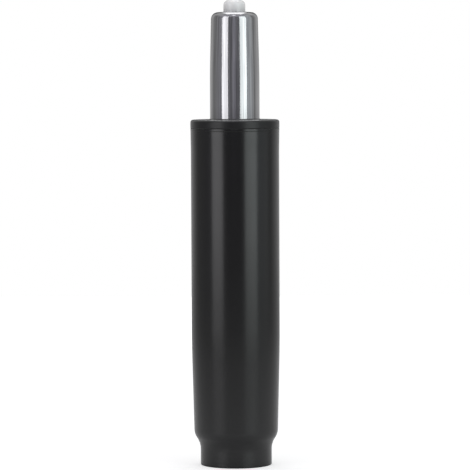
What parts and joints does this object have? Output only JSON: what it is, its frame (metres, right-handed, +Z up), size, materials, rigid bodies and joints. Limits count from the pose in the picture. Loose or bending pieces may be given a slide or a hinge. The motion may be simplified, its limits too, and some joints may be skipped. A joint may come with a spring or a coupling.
{
  "type": "chair gas lift cylinder",
  "caption": "Office chair gas lift: a chromed locking gas spring with a release button slides and swivels in a black column tube with cone ends for the base and the seat.",
  "frame": {"origin": "on the column's axis, in the plane of the foot ring that the column stands on", "axes": "+Z up along the axis, towards the release button; +X and +Y are free, because the outside is round"},
  "size_m": [0.0504, 0.0504, 0.2634],
  "materials": {
    "column_paint": "satin black powder coat",
    "bush_plastic": "moulded black, fine grain",
    "tube_chrome": "bright, with fine lines along the tube",
    "plated_steel": "zinc plated",
    "rod_steel": "ground",
    "bearing_steel": "hardened and polished",
    "spring_steel": "black oxide",
    "buffer_rubber": "matt",
    "seal_rubber": "satin, oiled",
    "cage_plastic": "natural nylon",
    "aluminium": "turned",
    "valve_brass": "turned",
    "button_plastic": "milky white, satin"
  },
  "bodies": {
    "column": {"column_tube": "column_paint", "bottom_plate": "plated_steel", "guide_bush": "bush_plastic", "lower_race": "bearing_steel", "foot_washer": "plated_steel"},
    "rod": {"piston_rod": "rod_steel", "retaining_clip": "spring_steel", "upper_race": "bearing_steel", "end_buffer": "buffer_rubber", "piston": "aluminium", "piston_seal": "seal_rubber", "piston_washer": "plated_steel"},
    "cage": {"ball_cage": "cage_plastic", "bearing_balls": "bearing_steel"},
    "gas_spring": {"pressure_tube": "tube_chrome", "inner_tube": "rod_steel", "end_washer": "plated_steel", "rod_seal": "seal_rubber", "rod_guide": "aluminium", "rod_guide_seal": "seal_rubber", "valve_head": "valve_brass", "valve_head_seal": "seal_rubber", "valve_seat": "valve_brass", "valve_seat_seal": "seal_rubber", "pin_seal": "seal_rubber", "poppet_seal": "seal_rubber"},
    "release": {"release_button": "button_plastic", "valve_pin": "rod_steel"}
  },
  "joints": [
    {"name": "seat_swivel", "type": "hinge", "parent": "column", "child": "rod", "pos_m": [0, 0, 0.025], "axis": [0, 0, 1], "continuous": true},
    {"name": "seat_lift", "type": "slide", "parent": "rod", "child": "gas_spring", "axis": [0, 0, 1], "range_m": [0, 0.085]},
    {"name": "release_press", "type": "slide", "parent": "gas_spring", "child": "release", "axis": [0, 0, -1], "range_m": [0, 0.003], "stiffness_N_per_m": 2000, "springref_m": -0.015},
    {"name": "cage_roll", "type": "hinge", "parent": "column", "child": "cage", "pos_m": [0, 0, 0.028], "axis": [0, 0, 1], "continuous": true}
  ],
  "couplings": [
    {"joint": "cage_roll", "follows": "seat_swivel", "ratio": 0.5}
  ]
}
